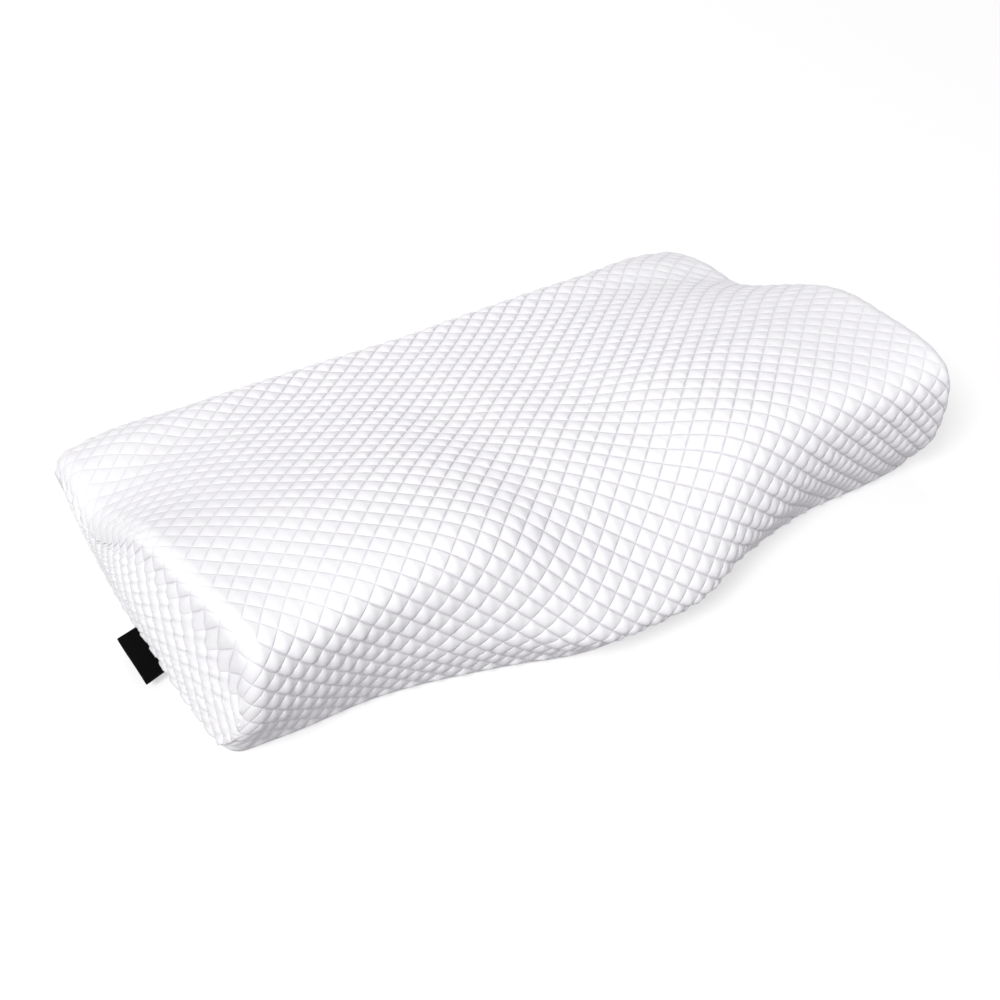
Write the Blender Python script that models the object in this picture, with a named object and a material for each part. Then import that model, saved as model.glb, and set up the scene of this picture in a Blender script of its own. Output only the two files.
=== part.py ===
# Contour neck pillow in a diamond-relief knit cover, with a folded tape label at the left end.
# X runs along the length, -Y is the near (neck) side, Z is up; the underside is the plane z = 0.

import math

import bmesh
import bpy
import numpy as np
from mathutils import Vector

MM = 0.001

# One row per cross-section, from the middle of the length to an end, in millimetres.
# Each pair is a point that the section's outline passes through, from the near foot over the
# near wall, its shoulder, the neck ridge, the head slope and the low back, to the far foot.
COLUMNS = ("x", "near_foot_y", "wall_y", "wall_z", "shoulder_y", "shoulder_z", "ridge_y", "ridge_z",
           "slope_y", "slope_z", "back_y", "back_z", "far_foot_y")
SECTIONS = (
    (0, -173, -190, 40, -132, 98, -67, 103, 67, 63, 148, 36, 180),
    (58, -169, -185, 43, -138, 105, -65, 107, 41, 72, 148, 36, 183),
    (117, -148, -161, 59, -140, 119, -62, 114, 27, 82, 140, 38, 187),
    (185, -136, -151, 65, -145, 120, -62, 117, 13, 90, 130, 42, 187),
    (248, -135, -153, 66, -150, 120, -65, 117, -1, 97, 110, 43, 190),
    (292, -132, -156, 59, -151, 124, -66, 119, -12, 104, 90, 37, 184),
)

HALF_LENGTH = 292.0

# The foot's rounding at the near side, and the turn of the low back down to the far foot.
FOOT_INSET = 17.0
FOOT_RADIUS = 13.0
FOOT_ROUND = 3.4
FAR_FOOT_INSET = 2.0
FAR_FOOT_Z = 8.0
BACK_EDGE_OUT = 8.0
BACK_EDGE_DROP = 0.8
BACK_TURN_DROP = 0.36

# The rounded edge between the top and an end face: softer where the section is high.
EDGE_RADIUS = 12.0
EDGE_MIDDLE_Y = 20.0
EDGE_SPREAD_Y = 60.0
EDGE_FULL_Z = 40.0

# The end face bows outwards, leans in towards its top and is tucked in at its foot.
END_FROM_X = 205.0
END_REACH = 88.0
END_BOW = 10.6
END_BOW_MIDDLE_Y = 24.0
END_BOW_HALF_WIDTH = 166.0
END_LEAN = 7.6
END_LEAN_FROM_Z = 10.0
END_TUCK = 10.0
END_TUCK_ROUND = 0.96
END_PAD = 3.0
END_PAD_FROM_Z = 11.0
END_PAD_RISE = 20.0

# The knit's diamonds: their rows, and how far centres stand up and groove crossings sink.
CELLS_ALONG = 66
CELLS_OVER = 58
CORNER_ROW = 12
RELIEF = 0.9
RELIEF_FROM_Z = 9.0
RELIEF_RISE = 9.0
RELIEF_FULL_SPACING = 8.0

LABEL_LENGTH = 46.0
LABEL_REACH = 16.0
LABEL_THICKNESS = 1.4
LABEL_MIDDLE_Y = -24.0
LABEL_SKEW = -5.0
LABEL_GAP = 0.3
LABEL_Z = 9.5
LABEL_CURL = 0.8
LABEL_SQUARES = (6, 12)


def hermite(knots, values, at):
    """Smooth curve through the values at the knots, read at each place in at."""
    knots = np.asarray(knots, float)
    values = np.asarray(values, float)
    steps = np.diff(knots)
    rises = np.diff(values, axis=0) / steps[:, None]
    slopes = np.zeros_like(values)
    slopes[0] = rises[0]
    slopes[-1] = rises[-1]
    before = steps[:-1, None]
    after = steps[1:, None]
    slopes[1:-1] = (rises[:-1] * after + rises[1:] * before) / (before + after)
    k = np.clip(np.searchsorted(knots, at, side="right") - 1, 0, len(knots) - 2)
    h = steps[k][:, None]
    s = ((at - knots[k]) / steps[k])[:, None]
    return ((2 * s ** 3 - 3 * s ** 2 + 1) * values[k] + (s ** 3 - 2 * s ** 2 + s) * h * slopes[k]
            + (3 * s ** 2 - 2 * s ** 3) * values[k + 1] + (s ** 3 - s ** 2) * h * slopes[k + 1])


def rise(value, start, length):
    """0 up to the start, 1 past its length, and straight between."""
    return min(max((value - start) / length, 0.0), 1.0)


def section_row(x):
    """The section table read at one place along the length."""
    half = np.array(SECTIONS, float)
    mirrored = half[:0:-1] * np.array([-1] + [1] * (len(COLUMNS) - 1))
    table = np.vstack([mirrored, half])
    row = hermite(table[:, 0], table[:, 1:], np.array([x]))[0]
    return dict(zip(COLUMNS[1:], row))


def section_outline(x, count):
    """Points (y, z) evenly spaced along the section, from the near foot to the far foot."""
    r = section_row(x)
    through = np.array([
        (r["near_foot_y"] + FOOT_INSET, 0.0),
        (r["near_foot_y"] + FOOT_ROUND, FOOT_ROUND),
        (r["near_foot_y"], FOOT_RADIUS),
        (r["wall_y"], r["wall_z"]),
        (r["shoulder_y"], r["shoulder_z"]),
        (r["ridge_y"], r["ridge_z"]),
        (r["slope_y"], r["slope_z"]),
        (r["back_y"], r["back_z"]),
        ((r["back_y"] + r["far_foot_y"]) / 2 + BACK_EDGE_OUT, r["back_z"] * BACK_EDGE_DROP),
        (r["far_foot_y"], r["back_z"] * BACK_TURN_DROP),
        (r["far_foot_y"] - FAR_FOOT_INSET, FAR_FOOT_Z),
        (r["far_foot_y"] - FOOT_INSET, 0.0),
    ])
    chords = np.sqrt(np.hypot(*np.diff(through, axis=0).T))
    knots = np.concatenate([[0.0], np.cumsum(chords)])
    fine = hermite(knots, through, np.linspace(0, knots[-1], 8 * count))
    run = np.concatenate([[0.0], np.cumsum(np.hypot(*np.diff(fine, axis=0).T))])
    even = np.linspace(0, run[-1], count + 1)
    return np.stack([np.interp(even, run, fine[:, 0]), np.interp(even, run, fine[:, 1])], -1)


def end_shift(x, y, z):
    """How far the end's bow, its lean and the tuck of its foot move a point outwards."""
    near_end = np.clip((abs(x) - END_FROM_X) / END_REACH, 0, 1) ** 2
    bow = END_BOW * np.clip(1 - ((y - END_BOW_MIDDLE_Y) / END_BOW_HALF_WIDTH) ** 2, 0, 1)
    lean = END_LEAN * np.clip(z - END_LEAN_FROM_Z, 0, None) / 100
    low = np.clip((FOOT_RADIUS - z) / FOOT_RADIUS, 0, 1)
    tuck = END_TUCK * (1 - np.sqrt(1 - END_TUCK_ROUND * low ** 2))
    return near_end * (bow - lean) - near_end ** 4 * tuck


def ring(u):
    """One ring of the cover at a run u along the top, rounded over the end's edge."""
    flat = HALF_LENGTH - EDGE_RADIUS
    past = max(abs(u) - flat, 0.0) / EDGE_RADIUS
    turn = min(past, math.pi / 2)
    side = math.copysign(1.0, u)
    x = side * (min(abs(u), flat) + EDGE_RADIUS * math.sin(turn))
    inset = EDGE_RADIUS * (1 - math.cos(turn))
    outline = section_outline(x, CELLS_OVER)
    y = outline[:, 0] - inset * np.tanh((outline[:, 0] - EDGE_MIDDLE_Y) / EDGE_SPREAD_Y)
    z = outline[:, 1] - inset * np.clip(outline[:, 1] / EDGE_FULL_Z, 0, 1)
    return np.stack([x + side * end_shift(x, y, z), y, z], -1)


def end_patch(edge):
    """Rows of the cover down an end face, inside the last ring's outline."""
    rows = CORNER_ROW
    columns = CELLS_OVER - 2 * rows
    side = math.copysign(1.0, edge[0, 0])
    top = edge[rows:rows + columns + 1]
    foot_y = np.linspace(edge[0, 1], edge[-1, 1], columns + 1)
    points = np.zeros((columns + 1, rows + 1, 3))
    for k in range(rows + 1):
        t = k / rows
        near = edge[rows - k]
        far = edge[rows + columns + k]
        for c in range(columns + 1):
            s = c / columns
            foot = np.array([foot_y[c], 0.0])
            corners = ((1 - t) * ((1 - s) * top[0, 1:] + s * top[-1, 1:])
                       + t * ((1 - s) * edge[0, 1:] + s * edge[-1, 1:]))
            yz = (1 - t) * top[c, 1:] + t * foot + (1 - s) * near[1:] + s * far[1:] - corners
            end = side * (HALF_LENGTH + end_shift(HALF_LENGTH, yz[0], yz[1]))
            above_foot = rise(yz[1], END_PAD_FROM_Z, END_PAD_RISE)
            pad = side * END_PAD * above_foot * math.sin(math.pi * t) * math.sin(math.pi * s)
            points[c, k] = (end + pad, yz[0], yz[1])
    return points


def lay_grid(bm, layer, points, parity):
    """A grid laid on the points, its squares split along the grooves of the diamonds."""
    across, along = points.shape[0] - 1, points.shape[1] - 1
    made = bmesh.ops.create_grid(bm, x_segments=across, y_segments=along, size=1.0)
    grooves = []
    for vert in made["verts"]:
        i = round((vert.co.x + 1) / 2 * across)
        j = round((vert.co.y + 1) / 2 * along)
        vert.co = Vector(points[i, j]) * MM
        crossing = (i + j + parity) % 2 == 0
        vert[layer] = -1.0 if crossing else 1.0
        if crossing:
            grooves.append(vert)
    bmesh.ops.connect_verts(bm, verts=grooves)


def relief_weight(vert):
    """Full relief on the cover's open surface, none at the foot and less where squares crowd."""
    spacing = min(edge.calc_length() for edge in vert.link_edges) / MM
    return (rise(vert.co.z / MM, RELIEF_FROM_Z, RELIEF_RISE)
            * rise(spacing, 0.0, RELIEF_FULL_SPACING) ** 2)


def pillow_mesh():
    bm = bmesh.new()
    layer = bm.verts.layers.float.new("relief")
    length = 2 * (HALF_LENGTH - EDGE_RADIUS + EDGE_RADIUS * math.pi / 2)
    runs = [length * (i / CELLS_ALONG - 0.5) for i in range(CELLS_ALONG + 1)]
    rings = np.array([ring(u) for u in runs])
    lay_grid(bm, layer, rings, 0)
    lay_grid(bm, layer, end_patch(rings[0]), CORNER_ROW)
    lay_grid(bm, layer, end_patch(rings[-1]), CORNER_ROW + CELLS_ALONG)
    bmesh.ops.remove_doubles(bm, verts=bm.verts, dist=0.00001)
    rim = [edge for edge in bm.edges if edge.is_boundary]
    bmesh.ops.holes_fill(bm, edges=rim, sides=0)
    bmesh.ops.recalc_face_normals(bm, faces=bm.faces)
    bm.normal_update()
    moves = [vert.normal * vert[layer] * relief_weight(vert) * RELIEF * MM for vert in bm.verts]
    for vert, move in zip(bm.verts, moves):
        vert.co += move
        vert.co.z = max(vert.co.z, 0.0)
    bmesh.ops.triangulate(bm, faces=bm.faces)
    return bm


def label_mesh():
    bm = bmesh.new()
    out, along = LABEL_SQUARES
    made = bmesh.ops.create_grid(bm, x_segments=out, y_segments=along, size=1.0)
    for vert in made["verts"]:
        reach = (vert.co.x + 1) / 2
        t = vert.co.y / 2
        y = LABEL_MIDDLE_Y + LABEL_LENGTH * t + LABEL_SKEW * reach
        root = -(HALF_LENGTH + end_shift(HALF_LENGTH, y, LABEL_Z)) - LABEL_GAP
        curl = LABEL_CURL * reach * math.cos(math.pi * t)
        vert.co = Vector((root - LABEL_REACH * reach, y, LABEL_Z + curl - LABEL_THICKNESS / 2)) * MM
    upper = bmesh.ops.extrude_face_region(bm, geom=list(bm.faces))["geom"]
    bmesh.ops.translate(bm, verts=[g for g in upper if isinstance(g, bmesh.types.BMVert)],
                        vec=(0, 0, LABEL_THICKNESS * MM))
    bmesh.ops.recalc_face_normals(bm, faces=bm.faces)
    bmesh.ops.triangulate(bm, faces=bm.faces)
    return bm


def material(name, color, roughness):
    made = bpy.data.materials.new(name)
    made.use_nodes = True
    shader = made.node_tree.nodes["Principled BSDF"]
    shader.inputs["Base Color"].default_value = (*color, 1.0)
    shader.inputs["Roughness"].default_value = roughness
    shader.inputs["Metallic"].default_value = 0.0
    return made


def add_object(name, bm, collection, look):
    mesh = bpy.data.meshes.new(name)
    bm.to_mesh(mesh)
    bm.free()
    made = bpy.data.objects.new(name, mesh)
    made.data.materials.append(look)
    collection.objects.link(made)


for old in list(bpy.data.objects):
    bpy.data.objects.remove(old, do_unlink=True)

parts = bpy.data.collections.new("cervical_pillow")
bpy.context.scene.collection.children.link(parts)

knit = material("white_knit", (0.86, 0.86, 0.87), 0.9)
tape = material("black_tape", (0.012, 0.012, 0.013), 0.7)

add_object("pillow", pillow_mesh(), parts, knit)
add_object("side_label", label_mesh(), parts, tape)
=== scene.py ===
# Contour neck pillow: a moulded foam body in a white diamond-relief knit cover with a tape label.
# The parts follow the order in which the pillow is put together; sizes are millimetres, times MM.

import math

import bmesh
import bpy
import numpy as np
from mathutils import Matrix, Vector, noise


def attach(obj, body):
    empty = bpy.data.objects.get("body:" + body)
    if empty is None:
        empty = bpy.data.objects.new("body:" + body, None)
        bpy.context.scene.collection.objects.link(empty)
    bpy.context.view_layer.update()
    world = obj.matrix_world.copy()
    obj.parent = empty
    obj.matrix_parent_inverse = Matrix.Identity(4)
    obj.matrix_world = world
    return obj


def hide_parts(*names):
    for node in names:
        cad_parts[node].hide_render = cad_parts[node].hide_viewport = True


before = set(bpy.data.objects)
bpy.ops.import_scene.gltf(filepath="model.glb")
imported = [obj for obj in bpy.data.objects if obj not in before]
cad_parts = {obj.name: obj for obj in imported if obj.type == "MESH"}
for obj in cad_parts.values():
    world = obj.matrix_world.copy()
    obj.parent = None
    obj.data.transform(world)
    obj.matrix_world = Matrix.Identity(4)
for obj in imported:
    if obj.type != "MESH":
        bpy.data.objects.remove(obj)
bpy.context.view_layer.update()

# The cover and the foam in it: one stretch knit of raised diamonds, drawn tight over the
# moulded foam. Its top panel runs over the crown and down all four sides in one piece, is
# darted at the four corners, and is sewn to a plain underside panel just above the floor.

MM = 0.001

# One row per cross-section from the middle to an end: places that its outline passes through,
# from the near foot over the wall, shoulder, neck ridge, head slope and back to the far foot.
COLUMNS = ("x", "near_foot_y", "wall_y", "wall_z", "shoulder_y", "shoulder_z", "ridge_y", "ridge_z",
           "slope_y", "slope_z", "back_y", "back_z", "far_foot_y")
SECTIONS = (
    (0, -173, -190, 40, -132, 97, -67, 102, 67, 63, 148, 36, 180),
    (42, -171, -188, 41, -136, 100, -66, 103, 49, 68, 148, 36, 182),
    (96, -155, -169, 54, -139, 117, -63, 113, 31, 79, 143, 37, 186),
    (185, -136, -151, 65, -145, 120, -62, 117, 13, 90, 130, 42, 187),
    (248, -135, -153, 66, -150, 120, -65, 117, -1, 97, 110, 43, 190),
    (292, -132, -156, 59, -151, 124, -66, 119, -12, 104, 90, 37, 184),
)

HALF_LENGTH = 292.0
FOOT_INSET = 17.0
FOOT_RADIUS = 13.0
FOOT_ROUND = 3.4
FAR_FOOT_INSET = 2.0
FAR_FOOT_Z = 8.0
BACK_EDGE_OUT = 8.0
BACK_EDGE_DROP = 0.8
BACK_TURN_DROP = 0.36
EDGE_RADIUS = 12.0
EDGE_MIDDLE_Y = 20.0
EDGE_SPREAD_Y = 60.0
EDGE_FULL_Z = 40.0
END_FROM_X = 205.0
END_REACH = 88.0
END_BOW = 10.6
END_BOW_MIDDLE_Y = 24.0
END_BOW_HALF_WIDTH = 166.0
END_LEAN = 7.6
END_LEAN_FROM_Z = 10.0
END_TUCK = 10.0
END_TUCK_ROUND = 0.96
END_PAD = 3.0
END_PAD_FROM_Z = 11.0
END_PAD_RISE = 20.0

# The knit: half diamonds along the length, over the section and down an end, each of them
# modelled with FINE by FINE faces.
CELLS_ALONG = 66
CELLS_OVER = 58
CORNER_ROW = 12
FINE = 4
SETTLE_ROUNDS = 1000
MERGE_WITHIN = 0.01
LEAST_Z = 0.1
CELL_EDGE = 13.3
RELIEF_LOW = -0.6
RELIEF_HIGH = 1.15
PUFF_POWER = 3
CREASE = 0.75
CELL_UNEVEN = 0.16
CELL_TILT = 0.5
UNEVEN_SEED = 7
UNEVEN_TABLE = 64
FULL_RELIEF_SPACING = 8.0
CROWD_POWER = 1.6
CROWD_LEAST = 0.1

# The relief is calmer on the flat of the wings and deeper down the walls. It nearly goes where
# the knit is drawn over an end's edge. One set of grooves prevails down the near wall and, waving,
# down the ends.
WING_CALM = 0.55
WING_FROM_X = 110.0
WING_RUN = 120.0
WALL_GAIN = 0.6
EDGE_CALM = 0.7
EDGE_CALM_WIDTH = 13.0
END_ROW_MM = 9.0
END_GAIN = 0.4
END_FADE_ROWS = 2
END_WAVE = 0.17
END_WAVE_STEADY = 0.65
END_WAVE_CHANGE = 0.35
END_WAVE_RATES = (0.83, 1.7)
END_EVEN = 0.8
WEAK_ON_END = 0.95
WEAK_ON_WALL = 0.5

# The foot seam runs low round the pillow, and the tape label lifts it a little.
SEAM_Z = 5.5
SEAM_DEPTH = 0.9
SEAM_HALF_WIDTH = 1.8
SEAM_LIFT = 4.0
SEAM_LIFT_Y = -24.0
SEAM_LIFT_HALF_WIDTH = 45.0
RELIEF_RISE = 3.0

# The dart at each corner: how many rows it runs up, its raised fold and the hollows beside it.
DART_ROWS = {"near": 7.0, "far": 4.0}
DART_FADE_ROWS = 2.0
DART_FOLD = 1.5
DART_FOLD_WIDTH = 2.1
DART_HOLLOW = -1.2
DART_HOLLOW_AT = 4.3
DART_HOLLOW_WIDTH = 1.9
DART_RISE = 18.0

# Soft unevenness of the cover, and the small crease on the left end's rounded top edge.
SWELL = 0.35
SWELL_PER_METRE = 22.0
FOLD_LINE = ((-290, 62, 55), (-291, 28, 77), (-290, -2, 96), (-291, -26, 106))
FOLD_DEPTH = 1.4
FOLD_HALF_WIDTH = 2.4
FOLD_STEPS = 24


def hermite(knots, values, at):
    """Smooth curve through the values at the knots, read at each place in at."""
    knots = np.asarray(knots, float)
    values = np.asarray(values, float)
    steps = np.diff(knots)
    rises = np.diff(values, axis=0) / steps[:, None]
    slopes = np.zeros_like(values)
    slopes[0] = rises[0]
    slopes[-1] = rises[-1]
    before = steps[:-1, None]
    after = steps[1:, None]
    slopes[1:-1] = (rises[:-1] * after + rises[1:] * before) / (before + after)
    k = np.clip(np.searchsorted(knots, at, side="right") - 1, 0, len(knots) - 2)
    h = steps[k][:, None]
    s = ((at - knots[k]) / steps[k])[:, None]
    return ((2 * s ** 3 - 3 * s ** 2 + 1) * values[k] + (s ** 3 - 2 * s ** 2 + s) * h * slopes[k]
            + (3 * s ** 2 - 2 * s ** 3) * values[k + 1] + (s ** 3 - s ** 2) * h * slopes[k + 1])


def section_row(x):
    """The section table read at one place along the length."""
    half = np.array(SECTIONS, float)
    mirrored = half[:0:-1] * np.array([-1] + [1] * (len(COLUMNS) - 1))
    table = np.vstack([mirrored, half])
    row = hermite(table[:, 0], table[:, 1:], np.array([x]))[0]
    return dict(zip(COLUMNS[1:], row))


def section_outline(x, count):
    """Points (y, z) evenly spaced along the section, from the near foot to the far foot."""
    r = section_row(x)
    through = np.array([
        (r["near_foot_y"] + FOOT_INSET, 0.0),
        (r["near_foot_y"] + FOOT_ROUND, FOOT_ROUND),
        (r["near_foot_y"], FOOT_RADIUS),
        (r["wall_y"], r["wall_z"]),
        (r["shoulder_y"], r["shoulder_z"]),
        (r["ridge_y"], r["ridge_z"]),
        (r["slope_y"], r["slope_z"]),
        (r["back_y"], r["back_z"]),
        ((r["back_y"] + r["far_foot_y"]) / 2 + BACK_EDGE_OUT, r["back_z"] * BACK_EDGE_DROP),
        (r["far_foot_y"], r["back_z"] * BACK_TURN_DROP),
        (r["far_foot_y"] - FAR_FOOT_INSET, FAR_FOOT_Z),
        (r["far_foot_y"] - FOOT_INSET, 0.0),
    ])
    chords = np.sqrt(np.hypot(*np.diff(through, axis=0).T))
    knots = np.concatenate([[0.0], np.cumsum(chords)])
    dense = hermite(knots, through, np.linspace(0, knots[-1], 8 * count))
    run = np.concatenate([[0.0], np.cumsum(np.hypot(*np.diff(dense, axis=0).T))])
    even = np.linspace(0, run[-1], count + 1)
    return np.stack([np.interp(even, run, dense[:, 0]), np.interp(even, run, dense[:, 1])], -1)


def end_shift(x, y, z):
    """How far the end's bow, its lean and the tuck of its foot move a point outwards."""
    near_end = np.clip((abs(x) - END_FROM_X) / END_REACH, 0, 1) ** 2
    bow = END_BOW * np.clip(1 - ((y - END_BOW_MIDDLE_Y) / END_BOW_HALF_WIDTH) ** 2, 0, 1)
    lean = END_LEAN * np.clip(z - END_LEAN_FROM_Z, 0, None) / 100
    low = np.clip((FOOT_RADIUS - z) / FOOT_RADIUS, 0, 1)
    tuck = END_TUCK * (1 - np.sqrt(1 - END_TUCK_ROUND * low ** 2))
    return near_end * (bow - lean) - near_end ** 4 * tuck


def ring(u):
    """One ring of the cover at a run u along the top, rounded over the end's edge."""
    flat = HALF_LENGTH - EDGE_RADIUS
    turn = min(max(abs(u) - flat, 0.0) / EDGE_RADIUS, math.pi / 2)
    side = math.copysign(1.0, u)
    x = side * (min(abs(u), flat) + EDGE_RADIUS * math.sin(turn))
    inset = EDGE_RADIUS * (1 - math.cos(turn))
    outline = section_outline(x, CELLS_OVER * FINE)
    y = outline[:, 0] - inset * np.tanh((outline[:, 0] - EDGE_MIDDLE_Y) / EDGE_SPREAD_Y)
    z = outline[:, 1] - inset * np.clip(outline[:, 1] / EDGE_FULL_Z, 0, 1)
    return np.stack([x + side * end_shift(x, y, z), y, z], -1)


def settled(grid):
    """A grid whose inner points have moved until its rows no longer cross or crowd its rim."""
    for _ in range(SETTLE_ROUNDS):
        right, left = grid[2:, 1:-1], grid[:-2, 1:-1]
        down, up = grid[1:-1, 2:], grid[1:-1, :-2]
        s, t = (right - left) / 2, (down - up) / 2
        a, b, c = ((u * v).sum(-1, keepdims=True) for u, v in ((t, t), (s, t), (s, s)))
        cross = grid[2:, 2:] - grid[2:, :-2] - grid[:-2, 2:] + grid[:-2, :-2]
        grid[1:-1, 1:-1] = (a * (right + left) + c * (down + up) - b / 2 * cross) / (2 * (a + c))
    return grid


def end_patch(edge):
    """Rows of the cover down an end face, inside the last ring's outline."""
    rows = CORNER_ROW * FINE
    columns = CELLS_OVER * FINE - 2 * rows
    side = math.copysign(1.0, edge[0, 0])
    s = np.linspace(0, 1, columns + 1)[:, None, None]
    t = np.linspace(0, 1, rows + 1)[None, :, None]
    top = edge[rows:rows + columns + 1, None, 1:]
    near = edge[rows::-1][None, :, 1:]
    far = edge[rows + columns:][None, :, 1:]
    foot = (1 - s) * edge[0, 1:] + s * edge[-1, 1:]
    corners = (1 - t) * ((1 - s) * top[0] + s * top[-1]) + t * foot
    yz = settled((1 - t) * top + t * foot + (1 - s) * near + s * far - corners)
    y, z = yz[..., 0], yz[..., 1]
    above_foot = np.clip((z - END_PAD_FROM_Z) / END_PAD_RISE, 0, 1)
    pad = END_PAD * above_foot * np.sin(math.pi * t[..., 0]) * np.sin(math.pi * s[..., 0])
    return np.stack([side * (HALF_LENGTH + end_shift(HALF_LENGTH, y, z) + pad), y, z], -1)


def bell(distance, half_width):
    return np.exp(-(distance / half_width) ** 2)


def cell_height(i, j, on_end, weak, lifts):
    """Height of the knit, 0 in the grooves and about 1 on the crease down a diamond's middle."""
    a, b = (i + j) / 2, (i - j) / 2
    p = 2 * np.abs(a - np.round(a))
    q = 2 * np.abs(b - np.round(b))
    puff = (1 - (1 - p) ** PUFF_POWER) * (1 - (1 - weak) * (1 - q) ** PUFF_POWER)
    home_a, home_b = np.floor(a).astype(int), np.floor(b).astype(int)
    from_crease = np.abs(a + b - home_a - home_b - 1) * (1 - on_end)
    own = lifts[home_a % len(lifts), home_b % len(lifts)] * (1 - END_EVEN * on_end)[..., None]
    tilt = own[..., 1] * (a - home_a - 0.5) + own[..., 2] * (b - home_b - 0.5)
    return puff * (1 - CREASE * from_crease) * (1 + CELL_UNEVEN * own[..., 0] + CELL_TILT * tilt)


def dart_height(across, up, rows):
    """A corner dart's fold and hollows, across millimetres from it and up rows from the foot."""
    fade = np.clip((rows - up) / DART_FADE_ROWS, 0, 1)
    hollows = DART_HOLLOW * bell(across - DART_HOLLOW_AT, DART_HOLLOW_WIDTH)
    return fade * (DART_FOLD * bell(across, DART_FOLD_WIDTH) + hollows)


def fold_depth(points):
    """The small crease along the rounded top edge of the left end."""
    steps = np.linspace(0, len(FOLD_LINE) - 1, FOLD_STEPS)
    line = hermite(np.arange(len(FOLD_LINE)), FOLD_LINE, steps)
    reach = np.full(points.shape[:-1], np.inf)
    for spot in line:
        reach = np.minimum(reach, np.linalg.norm(points - spot, axis=-1))
    return -FOLD_DEPTH * bell(reach, FOLD_HALF_WIDTH)


# What each point of the cover carries: its move outwards, its height over the foot seam, its
# share of the relief, and how weak the second set of grooves is.
MARKS = ("move", "over_seam_mm", "relief_share", "weak_second")


def above_seam(x, y, z):
    """Height over the foot seam."""
    lift = SEAM_LIFT * bell(y - SEAM_LIFT_Y, SEAM_LIFT_HALF_WIDTH) * (x < -END_FROM_X)
    return z - SEAM_Z - lift


def waved(points, i, j, on_end, across):
    """An end's points, moved along its rows so that the grooves down it wave."""
    rate_i, rate_j = END_WAVE_RATES
    change = END_WAVE_STEADY + END_WAVE_CHANGE * np.sin(rate_i * i + rate_j * j)
    swing = np.sin(math.pi * (i - j)) * change
    shift = END_WAVE * swing * on_end * np.clip(across / END_FADE_ROWS, 0, 1)
    return points + shift[..., None] * np.gradient(points, axis=0) * FINE


def relief_share(points, from_edge, on_end):
    """Share of the relief left where the rows crowd, on the wings, walls, ends and their edges."""
    runs = [np.gradient(points, axis=k) for k in (0, 1)]
    spacing = np.minimum(*(np.linalg.norm(run, axis=-1) for run in runs))
    crowd = np.clip(spacing * FINE / FULL_RELIEF_SPACING, CROWD_LEAST, 1) ** CROWD_POWER
    normal = np.cross(*runs)
    level = np.abs(normal[..., 2]) / np.linalg.norm(normal, axis=-1)
    wing = np.clip((np.abs(points[..., 0]) - WING_FROM_X) / WING_RUN, 0, 1)
    place = 1 - WING_CALM * wing * level + WALL_GAIN * (1 - level) + END_GAIN * on_end
    rise = np.clip(above_seam(*np.moveaxis(points, -1, 0)) / RELIEF_RISE, 0, 1)
    return crowd * place * rise * (1 - EDGE_CALM * bell(from_edge, EDGE_CALM_WIDTH))


def weak_second(points, on_end):
    """How weak the second set of grooves is, down the near wall and on the ends."""
    along, over = (np.gradient(points, axis=k) for k in (0, 1))
    normal = np.cross(along, over)
    facing_near = np.clip(-normal[..., 1] / np.linalg.norm(normal, axis=-1), 0, 1) ** 2
    return np.maximum(WEAK_ON_WALL * facing_near * (1 - on_end), WEAK_ON_END * on_end)


def knit_height(points, i, j, on_end, weak, share, lifts):
    """How far the relief, the foot seam and the swell move each point of a patch, in mm."""
    relief = RELIEF_LOW + (RELIEF_HIGH - RELIEF_LOW) * cell_height(i, j, on_end, weak, lifts)
    over = above_seam(*np.moveaxis(points, -1, 0))
    seam = -SEAM_DEPTH * bell(over, SEAM_HALF_WIDTH)
    swell = np.array([[noise.noise(Vector(p) * MM * SWELL_PER_METRE) for p in row] for row in points])
    return relief * share + SWELL * swell * np.clip(over / RELIEF_RISE, 0, 1) + seam


def lay_patch(bm, points, marks):
    """Lays one panel's faces on the points, split along the grooves of the knit."""
    layers = {name: bm.verts.layers.float.get(name) for name in MARKS}
    place = bm.loops.layers.uv.get("rows")
    across, along = points.shape[0] - 1, points.shape[1] - 1
    made = bmesh.ops.create_grid(bm, x_segments=across, y_segments=along, size=1.0)
    step = {}
    for vert in made["verts"]:
        i = round((vert.co.x + 1) / 2 * across)
        j = round((vert.co.y + 1) / 2 * along)
        step[vert] = (i, j)
        vert.co = Vector(points[i, j]) * MM
        for name, layer in layers.items():
            vert[layer] = marks[name][i, j]
    faces = {face for vert in made["verts"] for face in vert.link_faces}
    for face in sorted(faces, key=lambda f: f.index):
        corners = {step[loop.vert]: loop.vert for loop in face.loops}
        for loop in face.loops:
            i, j = step[loop.vert]
            loop[place].uv = (i / FINE, j / FINE)
        i, j = min(corners)
        rising = (i // FINE + j // FINE) % 2 == 0
        ends = ((i, j), (i + 1, j + 1)) if rising else ((i + 1, j), (i, j + 1))
        bmesh.utils.face_split(face, corners[ends[0]], corners[ends[1]])
    for edge in {edge for vert in made["verts"] for edge in vert.link_edges}:
        (i, j), (k, l) = (step[vert] for vert in edge.verts)
        on_groove = (i + j) % (2 * FINE) == 0 == (k + l) % (2 * FINE)
        on_other = (i - j) % (2 * FINE) == 0 == (k - l) % (2 * FINE)
        edge.smooth = not (on_groove or on_other)


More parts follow.
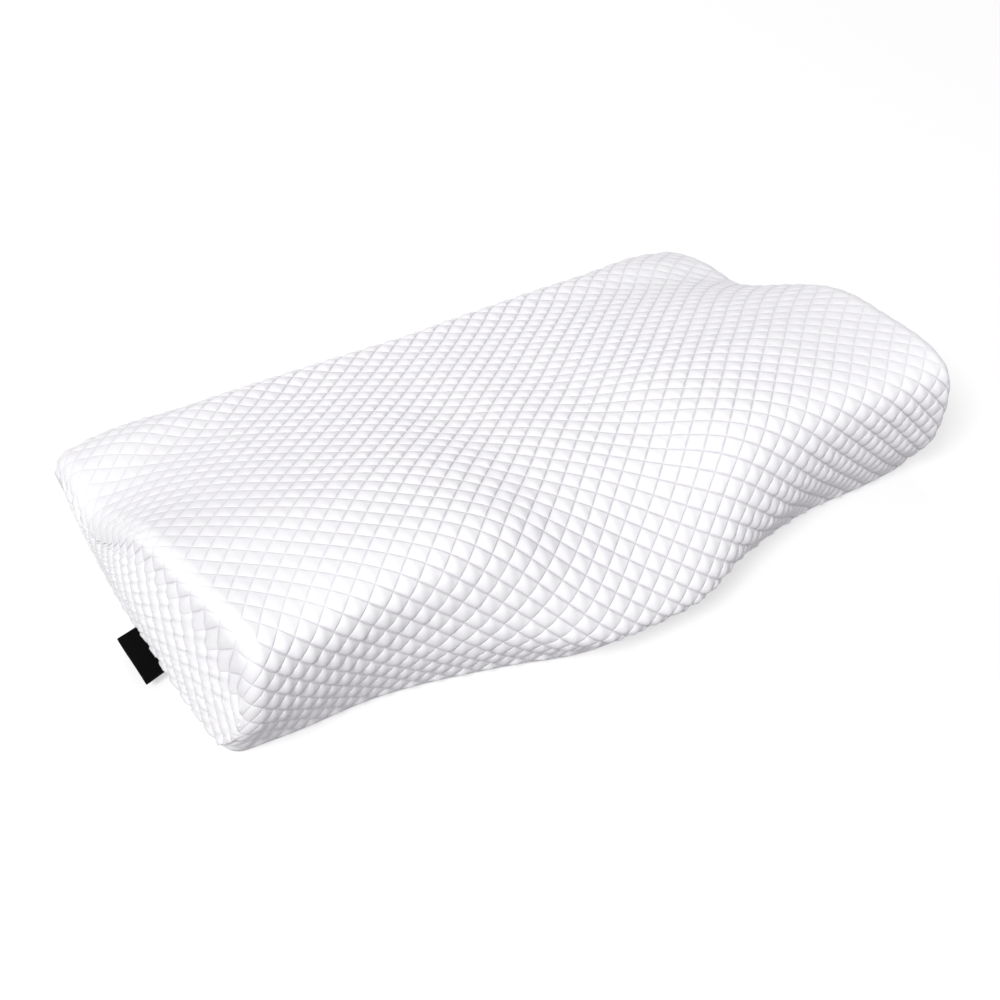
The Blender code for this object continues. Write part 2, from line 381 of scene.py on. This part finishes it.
def cover_mesh():
    bm = bmesh.new()
    for name in MARKS:
        bm.verts.layers.float.new(name)
    move = bm.verts.layers.float.get("move")
    place = bm.loops.layers.uv.new("rows")
    lifts = np.random.default_rng(UNEVEN_SEED).uniform(-1, 1, (UNEVEN_TABLE, UNEVEN_TABLE, 3))
    length = 2 * (HALF_LENGTH - EDGE_RADIUS + EDGE_RADIUS * math.pi / 2)
    pitch = length / CELLS_ALONG
    top = np.array([ring(length * (i / (CELLS_ALONG * FINE) - 0.5))
                    for i in range(CELLS_ALONG * FINE + 1)])
    panels = {"top": top, "left": end_patch(top[0]), "right": end_patch(top[-1])}
    for name, points in panels.items():
        count_i, count_j = points.shape[:2]
        i = (np.arange(count_i) / FINE)[:, None] + np.zeros(count_j)
        j = np.zeros((count_i, 1)) + np.arange(count_j) / FINE
        across = np.minimum(i, i[-1, 0] - i)
        if name == "top":
            on_end = np.zeros_like(i)
            from_edge = np.maximum(across * pitch - EDGE_RADIUS / 2, 0)
            darts = sum(dart_height(across * pitch, up, DART_ROWS[side])
                        for side, up in (("near", j), ("far", CELLS_OVER - j)))
        else:
            on_end = np.clip(j / END_FADE_ROWS, 0, 1)
            from_edge = j * END_ROW_MM + EDGE_RADIUS / 2
            points = waved(points, i, j, on_end, across)
            darts = sum(dart_height(run * pitch, CORNER_ROW - j, DART_ROWS[side])
                        for side, run in (("near", i), ("far", i[-1, 0] - i)))
        share = relief_share(points, from_edge, on_end)
        weak = weak_second(points, on_end)
        over = above_seam(*np.moveaxis(points, -1, 0))
        heights = knit_height(points, i, j, on_end, weak, share, lifts) + fold_depth(points)
        heights += darts * np.clip(over / DART_RISE, 0, 1)
        lay_patch(bm, points, dict(zip(MARKS, (heights, over, share, weak))))
    bmesh.ops.remove_doubles(bm, verts=bm.verts, dist=MERGE_WITHIN * MM)
    rim = [edge for edge in bm.edges if edge.is_boundary]
    base = bmesh.ops.holes_fill(bm, edges=rim, sides=0)["faces"]
    for face in base:
        for loop in face.loops:
            loop[place].uv = loop.vert.co.xy / (pitch * MM)
    bmesh.ops.recalc_face_normals(bm, faces=bm.faces)
    bm.normal_update()
    moves = [vert.normal * vert[move] * MM for vert in bm.verts]
    for vert, step in zip(bm.verts, moves):
        if vert.co.z > LEAST_Z * MM:
            vert.co += step
            vert.co.z = max(vert.co.z, LEAST_Z * MM)
    bmesh.ops.triangulate(bm, faces=base)
    bm.verts.layers.float.remove(move)
    for face in bm.faces:
        face.smooth = True
    mesh = bpy.data.meshes.new("pillow_cover")
    bm.to_mesh(mesh)
    bm.free()
    return mesh


class Field:
    """One output of a shader node. Arithmetic on it adds Math nodes."""

    def __init__(self, look, socket):
        self.look = look
        self.socket = socket

    def math(self, operation, *others):
        return self.look.add("ShaderNodeMath", {"operation": operation},
                             dict(enumerate((self, *others))))

    def __add__(self, other):
        return self.math("ADD", other)

    def __sub__(self, other):
        return self.math("SUBTRACT", other)

    def __rsub__(self, other):
        return self.look.add("ShaderNodeMath", {"operation": "SUBTRACT"}, {0: other, 1: self})

    def __mul__(self, other):
        return self.math("MULTIPLY", other)

    def __truediv__(self, other):
        return self.math("DIVIDE", other)

    def __pow__(self, other):
        return self.math("POWER", other)

    __radd__ = __add__
    __rmul__ = __mul__

    def clamped(self):
        return self.look.add("ShaderNodeClamp", {}, {"Value": self})

    def to_groove(self):
        """Distance to the nearest whole number, 0 to 0.5."""
        return ((self + 0.5).math("FRACT") - 0.5).math("ABSOLUTE")

    def bell(self, half_width):
        """1 at zero, falling smoothly away on both sides."""
        return self.look.add("ShaderNodeMath", {"operation": "EXPONENT"},
                             {0: (self / half_width) ** 2 * -1})


class Look:
    """A material whose nodes are added one by one round its Principled BSDF."""

    def __init__(self, name, **constants):
        self.material = bpy.data.materials.new(name)
        self.material.use_nodes = True
        self.tree = self.material.node_tree
        self.shader = self.tree.nodes["Principled BSDF"]
        for socket, value in constants.items():
            self.shader.inputs[socket.replace("_", " ")].default_value = value

    def add(self, kind, settings, inputs, output=0):
        node = self.tree.nodes.new(kind)
        for key, value in settings.items():
            setattr(node, key, value)
        for key, value in inputs.items():
            self.feed(node.inputs[key], value)
        return Field(self, node.outputs[output])

    def feed(self, socket, value):
        if isinstance(value, Field):
            self.tree.links.new(value.socket, socket)
        else:
            socket.default_value = value

    def parts(self, vector):
        node = self.tree.nodes.new("ShaderNodeSeparateXYZ")
        self.feed(node.inputs[0], vector)
        return [Field(self, out) for out in node.outputs]

    def mix(self, share, first, second):
        """A blend of two colours."""
        return self.add("ShaderNodeMix", {"data_type": "RGBA"}, {0: share, 6: first, 7: second}, 2)

    def speckle(self, per_metre):
        where = self.add("ShaderNodeTexCoord", {}, {}, "Object")
        return self.add("ShaderNodeTexNoise", {},
                        {"Vector": where, "Scale": per_metre, "Detail": 2.0})

    def surface(self, bump_height, **inputs):
        """Links the inputs to the shader, and a bump whose height is in millimetres."""
        for socket, value in inputs.items():
            self.feed(self.shader.inputs[socket.replace("_", " ")], value)
        bump = self.add("ShaderNodeBump", {}, {"Height": bump_height, "Distance": MM, "Strength": 1.0})
        self.feed(self.shader.inputs["Normal"], bump)
        return self.material


WHITE = (0.80, 0.80, 0.81, 1.0)
# Painted shade: the lilac grey that darkens the grooves and the foot seam, where shade falls in them.
GROOVE_PAINTED_SHADE = (0.56, 0.54, 0.59, 1.0)
UNDERSIDE_WHITE = (0.76, 0.76, 0.77, 1.0)
MOTTLE_SHADE = (0.74, 0.74, 0.77, 1.0)
MOTTLE_PER_METRE = 45.0
MOTTLE_SHARE = 0.10
FUZZ_SHADE = (0.68, 0.68, 0.70, 1.0)
FUZZ_PER_METRE = 1400.0
FUZZ_SHARE = 0.08
FUZZ_HEIGHT = 0.06
GROOVE_HALF_WIDTH = 0.65
GROOVE_SINK = 0.45
# Share of the painted shade laid into the grooves.
GROOVE_PAINTED_SHADE_SHARE = 0.45
SEAM_LINE_HALF_WIDTH = 0.6
SEAM_SINK = 0.5
# Share of the painted shade laid along the foot seam.
SEAM_PAINTED_SHADE_SHARE = 0.5
WALE = 0.9
COURSE = 0.75
LOOP_HEIGHT = 0.05
ROW_MM = 9.3
STITCH = 3.1
STITCH_HALF_WIDTH = 1.6
STITCH_HEIGHT = 0.12


def white_knit():
    look = Look("white_relief_knit", Sheen_Weight=0.12, Sheen_Roughness=0.5, Specular_IOR_Level=0.25)
    rows = look.add("ShaderNodeUVMap", {"uv_map": "rows"}, {})
    i, j, _ = look.parts(rows)
    over_seam, share, weak = (look.add("ShaderNodeAttribute", {"attribute_name": mark}, {}, 2)
                              for mark in MARKS[1:])
    knitted = (over_seam / RELIEF_RISE).clamped()
    other = (i - j) / 2
    first = (((i + j) / 2).to_groove() * CELL_EDGE).bell(GROOVE_HALF_WIDTH)
    second = (other.to_groove() * CELL_EDGE).bell(GROOVE_HALF_WIDTH) * (1 - weak)
    groove = first.math("MAXIMUM", second) * share.clamped()
    seam = over_seam.bell(SEAM_LINE_HALF_WIDTH)
    stitches = ((i + j) * (2 * math.pi * ROW_MM / STITCH)).math("SINE")
    stitches = stitches * over_seam.bell(STITCH_HALF_WIDTH)
    wale = (i * (ROW_MM / WALE)).to_groove()
    course = (j * (ROW_MM / COURSE) + wale).to_groove()
    loops = (wale * course) * 4
    mottle = look.speckle(MOTTLE_PER_METRE)
    fuzz = look.speckle(FUZZ_PER_METRE)
    shade = look.mix(knitted, UNDERSIDE_WHITE, WHITE)
    shade = look.mix(mottle * MOTTLE_SHARE, shade, MOTTLE_SHADE)
    # Painted shade: the grooves and the foot seam are darkened towards the lilac grey, as shade falls
    # in them.
    shade = look.mix((groove * GROOVE_PAINTED_SHADE_SHARE + seam * SEAM_PAINTED_SHADE_SHARE).clamped(), shade, GROOVE_PAINTED_SHADE)
    shade = look.mix(fuzz * FUZZ_SHARE, shade, FUZZ_SHADE)
    height = (loops * LOOP_HEIGHT + fuzz * FUZZ_HEIGHT - groove * GROOVE_SINK
              - seam * SEAM_SINK + stitches * STITCH_HEIGHT)
    return look.surface(height, Base_Color=shade, Roughness=0.82 + fuzz * 0.12)


cover = bpy.data.objects.new("pillow_cover", cover_mesh())
bpy.context.scene.collection.objects.link(cover)
cover.data.materials.append(white_knit())
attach(cover, "root")
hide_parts("pillow")

# The side label: a short black woven tape, folded once across its width, with both cut ends
# caught in the foot seam of the left end. It sticks out stiffly and its face is left bare.

LABEL_LENGTH = 46.0
LABEL_REACH = 16.0
LABEL_ROOT_IN = 1.6
LABEL_MIDDLE_Y = -24.0
LABEL_SKEW = -5.0
LABEL_Z = 9.5
LABEL_CURL = 0.8
LAYER_GAP = 0.9
TAPE_THICKNESS = 0.4
TAPE_WAVE = 0.25
TAPE_WAVE_RATES = (9, 3)
TAPE_FACES = (44, 30)
TAPE_DARK = (0.001, 0.001, 0.001, 1.0)
TAPE_LIGHT = (0.004, 0.004, 0.0045, 1.0)
TAPE_PALE = (0.012, 0.012, 0.013, 1.0)
TAPE_EDGE = 1.0
RIB = 0.55
RIB_HEIGHT = 0.10
WEFT = 0.35
WEFT_HEIGHT = 0.06
TAPE_FUZZ_PER_METRE = 1800.0
TAPE_FUZZ_HEIGHT = 0.04


def label_path(p):
    """Reach and height along the folded tape, p running 0 to 1 from one cut end to the other."""
    straight = LABEL_REACH + LABEL_ROOT_IN - LAYER_GAP / 2
    whole = 2 * straight + math.pi * LAYER_GAP / 2
    run = p * whole
    if run < straight:
        return run, LAYER_GAP / 2, whole
    if run > whole - straight:
        return whole - run, -LAYER_GAP / 2, whole
    turn = (run - straight) / (LAYER_GAP / 2)
    return straight + LAYER_GAP / 2 * math.sin(turn), LAYER_GAP / 2 * math.cos(turn), whole


def label_mesh():
    bm = bmesh.new()
    weave = bm.loops.layers.uv.new("weave")
    along, across = TAPE_FACES
    made = bmesh.ops.create_grid(bm, x_segments=along, y_segments=across, size=1.0)
    rate_t, rate_share = TAPE_WAVE_RATES
    flat = {}
    for vert in made["verts"]:
        p, t = (vert.co.x + 1) / 2, vert.co.y / 2
        reach, lift, whole = label_path(p)
        share = reach / (LABEL_REACH + LABEL_ROOT_IN)
        y = LABEL_MIDDLE_Y + LABEL_LENGTH * t + LABEL_SKEW * share
        root = -(HALF_LENGTH + end_shift(HALF_LENGTH, y, LABEL_Z)) + LABEL_ROOT_IN
        curl = LABEL_CURL * share * math.cos(math.pi * t)
        wave = curl + TAPE_WAVE * math.sin(rate_t * t + rate_share * share)
        flat[vert] = (LABEL_LENGTH * t, whole * p)
        vert.co = Vector((root - reach, y, LABEL_Z + lift + wave)) * MM
    for face in bm.faces:
        face.smooth = True
        for loop in face.loops:
            loop[weave].uv = flat[loop.vert]
    bmesh.ops.recalc_face_normals(bm, faces=bm.faces)
    mesh = bpy.data.meshes.new("label_tape")
    bm.to_mesh(mesh)
    bm.free()
    return mesh


def black_tape():
    look = Look("black_woven_tape", Specular_IOR_Level=0.05)
    across, along, _ = look.parts(look.add("ShaderNodeUVMap", {"uv_map": "weave"}, {}))
    rib = ((across + along * 0.5) / RIB).to_groove() * 2
    weft = (along / WEFT).to_groove() * 2
    fuzz = look.speckle(TAPE_FUZZ_PER_METRE)
    edge = (across.math("ABSOLUTE") - (LABEL_LENGTH / 2 - TAPE_EDGE)).clamped()
    shade = look.mix(rib * 0.6, TAPE_DARK, TAPE_LIGHT)
    # The tape is paler within TAPE_EDGE of its two side edges, and faintly in a fine fuzz.
    shade = look.mix(edge * 0.5 + fuzz * 0.1, shade, TAPE_PALE)
    height = rib * RIB_HEIGHT + weft * WEFT_HEIGHT + fuzz * TAPE_FUZZ_HEIGHT
    return look.surface(height, Base_Color=shade, Roughness=0.62 + fuzz * 0.2)


label = bpy.data.objects.new("label_tape", label_mesh())
bpy.context.scene.collection.objects.link(label)
label.data.materials.append(black_tape())
body = label.modifiers.new("tape thickness", "SOLIDIFY")
body.thickness = TAPE_THICKNESS * MM
body.offset = 0.0
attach(label, "root")
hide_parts("side_label")
label_path(0)[2] * MM

# The floor is a plain pale sweep, wide enough to fill the view, with a faint grain. It also glows
# a little, so that the shadow on it stays soft, and it throws no light back on the pillow.

FLOOR_HALF_SIZE = 60.0
FLOOR_Z = -0.4
FLOOR_GLOW = 0.55
FLOOR_SHADE = (0.42, 0.42, 0.42, 1.0)
FLOOR_GRAIN = (0.41, 0.41, 0.41, 1.0)
FLOOR_GRAIN_PER_METRE = 30.0


def pale_floor():
    look = Look("pale_floor", Emission_Color=(1.0, 1.0, 1.0, 1.0), Emission_Strength=FLOOR_GLOW)
    grain = look.speckle(FLOOR_GRAIN_PER_METRE)
    shade = look.mix(grain * 0.3, FLOOR_SHADE, FLOOR_GRAIN)
    return look.surface(grain * 0.02, Base_Color=shade, Roughness=0.7 + grain * 0.2)


bm = bmesh.new()
bmesh.ops.create_grid(bm, x_segments=2, y_segments=2, size=FLOOR_HALF_SIZE)
bmesh.ops.translate(bm, verts=bm.verts, vec=(0, 0, FLOOR_Z * MM))
floor = bpy.data.objects.new("floor", bpy.data.meshes.new("floor"))
bm.to_mesh(floor.data)
bm.free()
bpy.context.scene.collection.objects.link(floor)
floor.data.materials.append(pale_floor())
floor.visible_diffuse = False

# Soft studio light: a round panel high over the near-left corner, weak ones at the near right
# and behind, and an even surround that is white with a touch of lilac.

PANEL_DISTANCE = 5.0
PANEL_WIDTH = 1.5
SURROUND_TINT = (1.0, 0.96, 1.01, 1.0)
SURROUND_STRENGTH = 0.40


def panel_light(name, azimuth, elevation, power):
    light = bpy.data.lights.new(name, "AREA")
    light.shape = "DISK"
    light.size = PANEL_WIDTH
    light.energy = power
    lamp = bpy.data.objects.new(name, light)
    level = math.cos(math.radians(elevation))
    lamp.location = PANEL_DISTANCE * Vector((level * math.cos(math.radians(azimuth)),
                                             level * math.sin(math.radians(azimuth)),
                                             math.sin(math.radians(elevation))))
    lamp.rotation_euler = (-lamp.location).to_track_quat("-Z", "Y").to_euler()
    bpy.context.scene.collection.objects.link(lamp)


panel_light("key_panel", azimuth=212, elevation=46, power=229.0)
panel_light("near_right_panel", azimuth=312, elevation=12, power=34.0)
panel_light("back_panel", azimuth=80, elevation=30, power=56.0)

surround = bpy.data.worlds.new("studio_surround")
surround.use_nodes = True
background = surround.node_tree.nodes["Background"]
background.inputs["Color"].default_value = SURROUND_TINT
background.inputs["Strength"].default_value = SURROUND_STRENGTH
bpy.context.scene.world = surround
bpy.context.scene.view_settings.view_transform = "Standard"

# The camera stands off the near-left corner at head height, tipped a little, as the photo was
# taken.

CAMERA_PLACE = (-0.5121, -0.7340, 0.8438)
CAMERA_RIGHT = (0.84957, -0.52488, 0.05227)
CAMERA_UP = (0.33123, 0.60798, 0.72156)
CAMERA_LENS = 57.6

lens = bpy.data.cameras.new("camera")
lens.lens = CAMERA_LENS
lens.sensor_width = 36.0
camera = bpy.data.objects.new("camera", lens)
right, up = Vector(CAMERA_RIGHT), Vector(CAMERA_UP)
turn = Matrix((right, up, right.cross(up))).transposed()
camera.matrix_world = Matrix.Translation(CAMERA_PLACE) @ turn.to_4x4()
bpy.context.scene.collection.objects.link(camera)
bpy.context.scene.camera = camera
